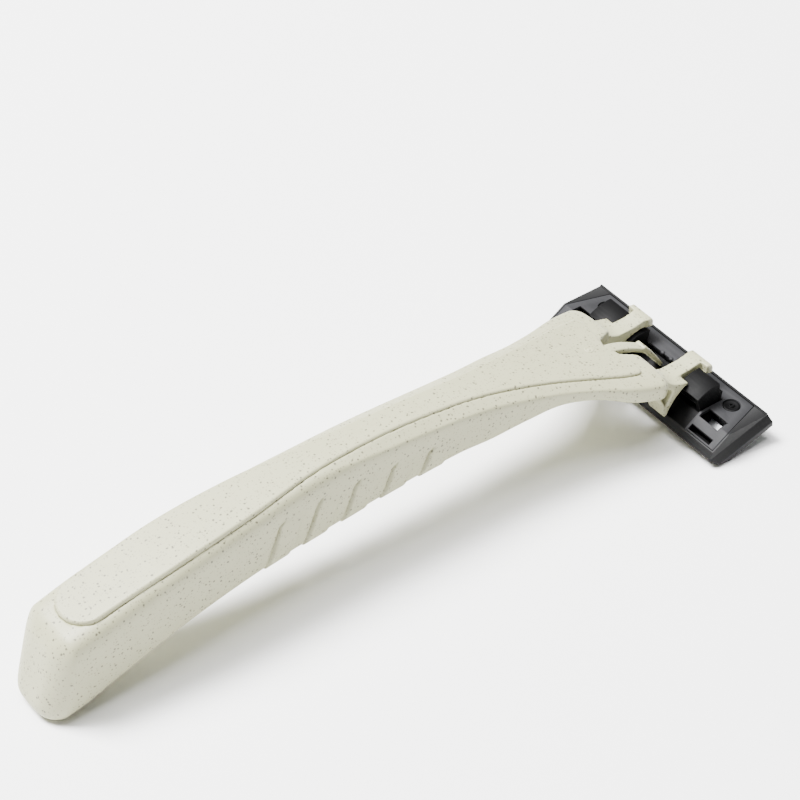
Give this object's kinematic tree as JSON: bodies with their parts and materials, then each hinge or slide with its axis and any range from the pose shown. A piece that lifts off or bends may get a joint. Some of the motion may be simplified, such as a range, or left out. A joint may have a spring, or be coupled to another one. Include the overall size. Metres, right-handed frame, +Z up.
{
  "type": "cartridge razor",
  "caption": "Wet shaving razor: an arched handle with side grip pads and a forked yoke, carrying a pivoting blade cartridge that a spring tongue returns.",
  "frame": {"origin": "middle of the razor's bounding box in plan, at the table that the butt and the cartridge's guard rest on", "axes": "+X along the handle from butt to cartridge, +Y along the cartridge, +Z up from the table through the back of the handle"},
  "size_m": [0.123, 0.0416, 0.0216],
  "materials": {
    "stone_plastic": "fine speckled, satin moulded",
    "dark_plastic": "fine moulded grain",
    "black_plastic": "smooth moulded",
    "grey_plastic": "fine brushed-look moulding",
    "blade_steel": "ground strip steel",
    "support_steel": "rolled strip steel",
    "guard_rubber": "matt elastomer",
    "strip_polymer": "smooth dry polymer"
  },
  "bodies": {
    "handle": {"handle_body": "stone_plastic", "top_cover": "stone_plastic", "spring_tongue": "stone_plastic"},
    "cartridge": {"cartridge_frame": "dark_plastic", "bearing_seat": "black_plastic", "back_plate": "grey_plastic", "guard_strip": "guard_rubber", "lubricating_strip": "strip_polymer", "blade_1": "blade_steel", "blade_support_1": "support_steel", "blade_2": "blade_steel", "blade_support_2": "support_steel", "blade_3": "blade_steel", "blade_support_3": "support_steel", "rivet_left": "black_plastic", "rivet_right": "black_plastic"}
  },
  "joints": [
    {"name": "head_pivot", "type": "hinge", "parent": "handle", "child": "cartridge", "pos_m": [0.05633, 0, 0.0012], "axis": [0, -1, 0], "range_deg": [0, 40], "stiffness_Nm_per_rad": 0.004, "springref_deg": -11.46, "deforming": ["spring_tongue"]}
  ]
}
